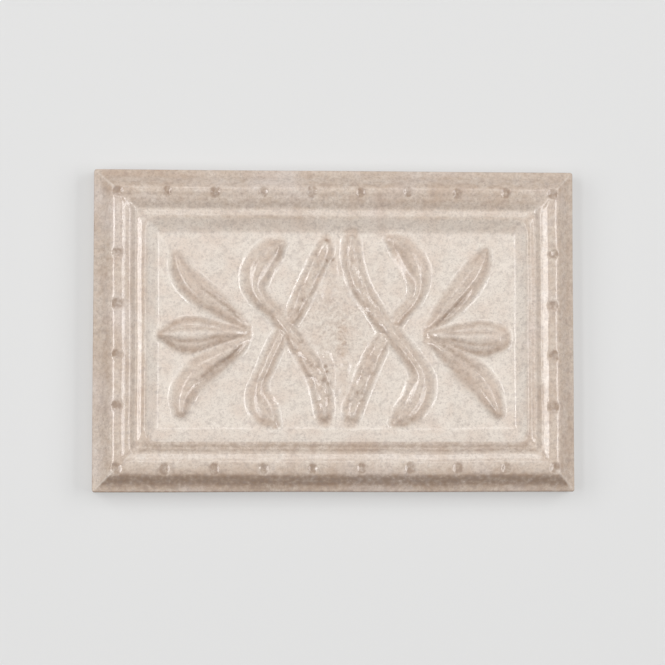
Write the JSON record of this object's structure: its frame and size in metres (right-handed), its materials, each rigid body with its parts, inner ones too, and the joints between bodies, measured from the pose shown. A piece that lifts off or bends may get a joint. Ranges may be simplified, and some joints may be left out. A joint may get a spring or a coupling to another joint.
{
  "type": "border tile",
  "caption": "Rectangular glazed ceramic border tile with a sunken panel of raised palmettes and crossed laurel sprays inside a moulded frame.",
  "frame": {"origin": "middle of the flat back, on the surface that the tile lies on or is bedded against", "axes": "+X along the tile's length, +Y across it towards the top of the ornament, +Z out of the glazed face"},
  "size_m": [0.1524, 0.1016, 0.0121],
  "materials": {
    "glazed_clay": "glossy glaze over a cream body, browner on the raised parts"
  },
  "bodies": {
    "root": {"tile": "glazed_clay"}
  },
  "joints": []
}
